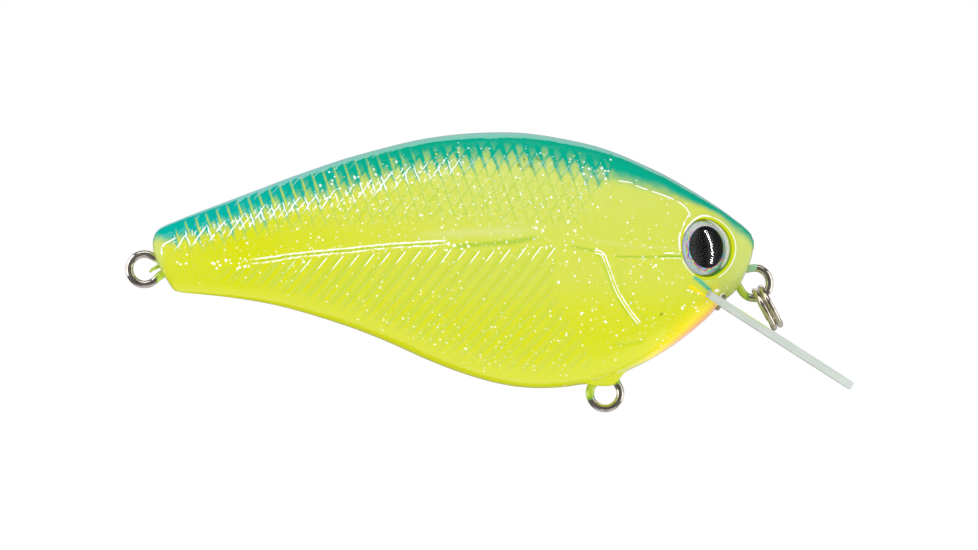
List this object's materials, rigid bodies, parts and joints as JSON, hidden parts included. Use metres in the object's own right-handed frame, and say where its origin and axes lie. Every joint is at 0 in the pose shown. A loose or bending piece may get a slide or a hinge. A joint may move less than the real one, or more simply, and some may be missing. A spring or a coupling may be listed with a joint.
{
  "type": "crankbait lure",
  "caption": "Hollow fish-shaped lure with a flat diving lip, wire line tie and hook eyes, domed eyes, a swinging split ring and sliding rattle balls inside.",
  "frame": {"origin": "centre of the overall bounding box at rest, on the lure's mid-plane", "axes": "+X towards the nose and lip, +Y towards the lure's own left side, +Z towards its back"},
  "size_m": [0.0756, 0.015, 0.029],
  "materials": {
    "painted_body": "clear-coated paint, teal back over chartreuse, silver flake",
    "lip_board": "translucent glass-fibre board",
    "steel_wire": "bright drawn wire",
    "eye_foil": "silver holographic foil with a black pupil",
    "eye_lens": "clear gloss resin dome",
    "ballast": "matt grey metal",
    "rattle_steel": "polished bearing steel"
  },
  "bodies": {
    "lure_body": {"left_body_shell": "painted_body", "right_body_shell": "painted_body", "diving_lip": "lip_board", "lip_retaining_pin": "steel_wire", "line_tie_eye": "steel_wire", "belly_hook_eye": "steel_wire", "tail_hook_eye": "steel_wire", "left_eye_foil": "eye_foil", "right_eye_foil": "eye_foil", "left_eye_lens": "eye_lens", "right_eye_lens": "eye_lens", "front_ballast_slug": "ballast", "rear_ballast_slug": "ballast"},
    "split_ring_body": {"split_ring": "steel_wire"},
    "knocker_ball_body": {"knocker_ball": "rattle_steel"},
    "rattle_ball_front_body": {"rattle_ball_front": "rattle_steel"},
    "rattle_ball_middle_body": {"rattle_ball_middle": "rattle_steel"},
    "rattle_ball_rear_body": {"rattle_ball_rear": "rattle_steel"}
  },
  "joints": [
    {"name": "split_ring_swing", "type": "hinge", "parent": "lure_body", "child": "split_ring_body", "pos_m": [0.02754, 0, -0.00115], "axis": [0, -1, 0], "range_deg": [0, 145]},
    {"name": "knocker_ball_slide", "type": "slide", "parent": "lure_body", "child": "knocker_ball_body", "axis": [0, 1, 0], "range_m": [-0.0036, 0.0036]},
    {"name": "rattle_ball_front_slide", "type": "slide", "parent": "lure_body", "child": "rattle_ball_front_body", "axis": [0, 1, 0], "range_m": [-0.0038, 0.0038]},
    {"name": "rattle_ball_middle_slide", "type": "slide", "parent": "lure_body", "child": "rattle_ball_middle_body", "axis": [0, 1, 0], "range_m": [-0.0029, 0.0029]},
    {"name": "rattle_ball_rear_slide", "type": "slide", "parent": "lure_body", "child": "rattle_ball_rear_body", "axis": [0, 1, 0], "range_m": [-0.0021, 0.0021]}
  ]
}
